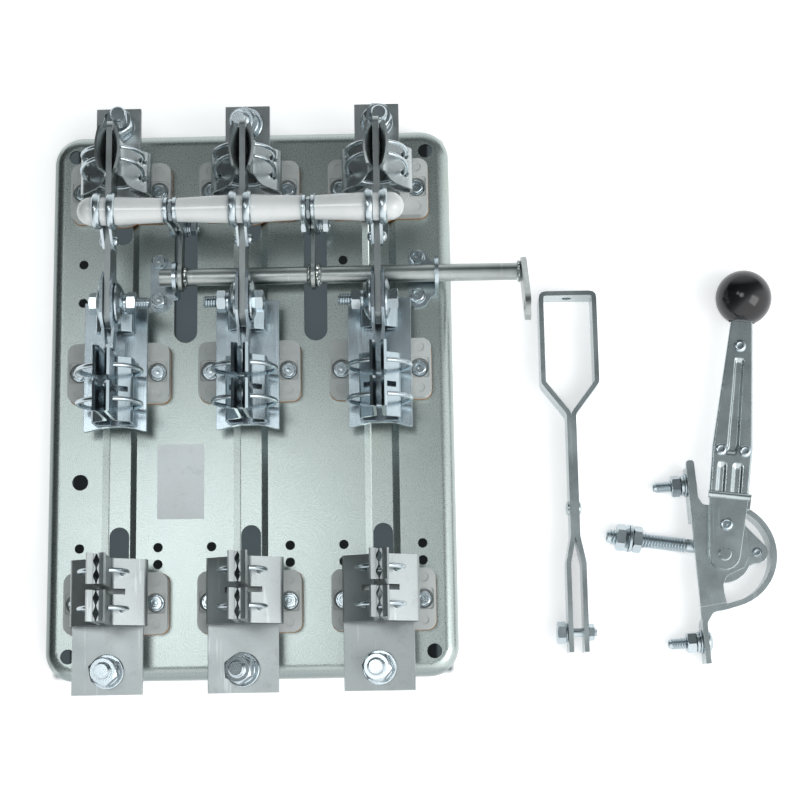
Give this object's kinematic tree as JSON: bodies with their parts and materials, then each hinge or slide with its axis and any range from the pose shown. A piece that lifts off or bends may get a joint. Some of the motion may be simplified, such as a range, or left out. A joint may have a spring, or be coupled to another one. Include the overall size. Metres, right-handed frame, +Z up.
{
  "type": "fuse switch disconnector",
  "caption": "Open fuse switch disconnector on a drawn sheet plate: knives on a ceramic traverse, fuse jaws, crank shaft, and a link rod and side lever drive beside it.",
  "frame": {"origin": "centre of the four fixing holes, on the front face of the base plate", "axes": "+X across the poles to the drive arm, +Y from the load terminals to the line terminals, +Z out of the plate towards the operator; as pictured, the plate lies on its back with +Z up"},
  "size_m": [0.5018, 0.405, 0.1022],
  "materials": {
    "zinc_sheet": "passivated zinc plated sheet",
    "gasket": "pressed board sheet",
    "moulding": "matt moulding",
    "label": "blank sticker",
    "bar_metal": "satin plated bar",
    "jaw_metal": "satin plated sheet",
    "zinc_bright": "bright zinc",
    "zinc_blue": "bright zinc sheet",
    "drive_zinc": "bright zinc",
    "porcelain": "glazed white",
    "shaft_steel": "dull steel",
    "knob": "gloss black"
  },
  "bodies": {
    "frame": {"base_plate": "zinc_sheet", "gaskets": "gasket", "supports": "moulding", "label": "label", "line_bars": "bar_metal", "line_jaws": "jaw_metal", "line_springs": "zinc_bright", "mid_bars": "zinc_blue", "pivot_jaws": "zinc_blue", "pivot_bolts": "zinc_bright", "mid_jaws": "zinc_blue", "mid_springs": "zinc_bright", "load_bars": "bar_metal", "load_jaws": "bar_metal", "load_springs": "zinc_bright", "shaft_brackets": "zinc_blue", "link_rod": "drive_zinc", "link_rod_bolt": "zinc_bright", "side_plate": "drive_zinc", "guard_band": "drive_zinc"},
    "bridge": {"knives": "bar_metal", "tie_rod": "zinc_bright", "ceramics": "porcelain", "collars": "zinc_bright"},
    "rocker": {"shaft": "shaft_steel", "cranks": "shaft_steel", "drive_arm": "shaft_steel"},
    "links": {"link_straps": "zinc_bright", "crank_bolts": "zinc_bright"},
    "hand_lever": {"lever": "drive_zinc", "lever_clip": "drive_zinc", "knob": "knob", "sector": "drive_zinc"},
    "output": {"output_rod": "zinc_bright"}
  },
  "joints": [
    {"name": "shaft_turn", "type": "hinge", "parent": "frame", "child": "rocker", "pos_m": [0, 0.0815, 0.018], "axis": [1, 0, 0], "range_deg": [0, 66]},
    {"name": "knife_swing", "type": "hinge", "parent": "frame", "child": "bridge", "pos_m": [0, 0.0565, 0.048], "axis": [1, 0, 0], "range_deg": [0, 43.9]},
    {"name": "link_swing", "type": "hinge", "parent": "bridge", "child": "links", "pos_m": [0, 0.1136, 0.072], "axis": [1, 0, 0], "range_deg": [-28, 1]},
    {"name": "lever_swing", "type": "hinge", "parent": "frame", "child": "hand_lever", "pos_m": [0.3207, -0.1141, 0], "axis": [0, 0, -1], "range_deg": [0, 60]},
    {"name": "rod_swing", "type": "hinge", "parent": "hand_lever", "child": "output", "pos_m": [0.34346, -0.11283, 0], "axis": [0, 0, 1], "range_deg": [0, 60]}
  ],
  "couplings": [
    {"joint": "knife_swing", "follows": "shaft_turn", "ratio": 0.6639},
    {"joint": "link_swing", "follows": "shaft_turn", "ratio": -0.4227},
    {"joint": "rod_swing", "follows": "lever_swing", "ratio": 1}
  ]
}
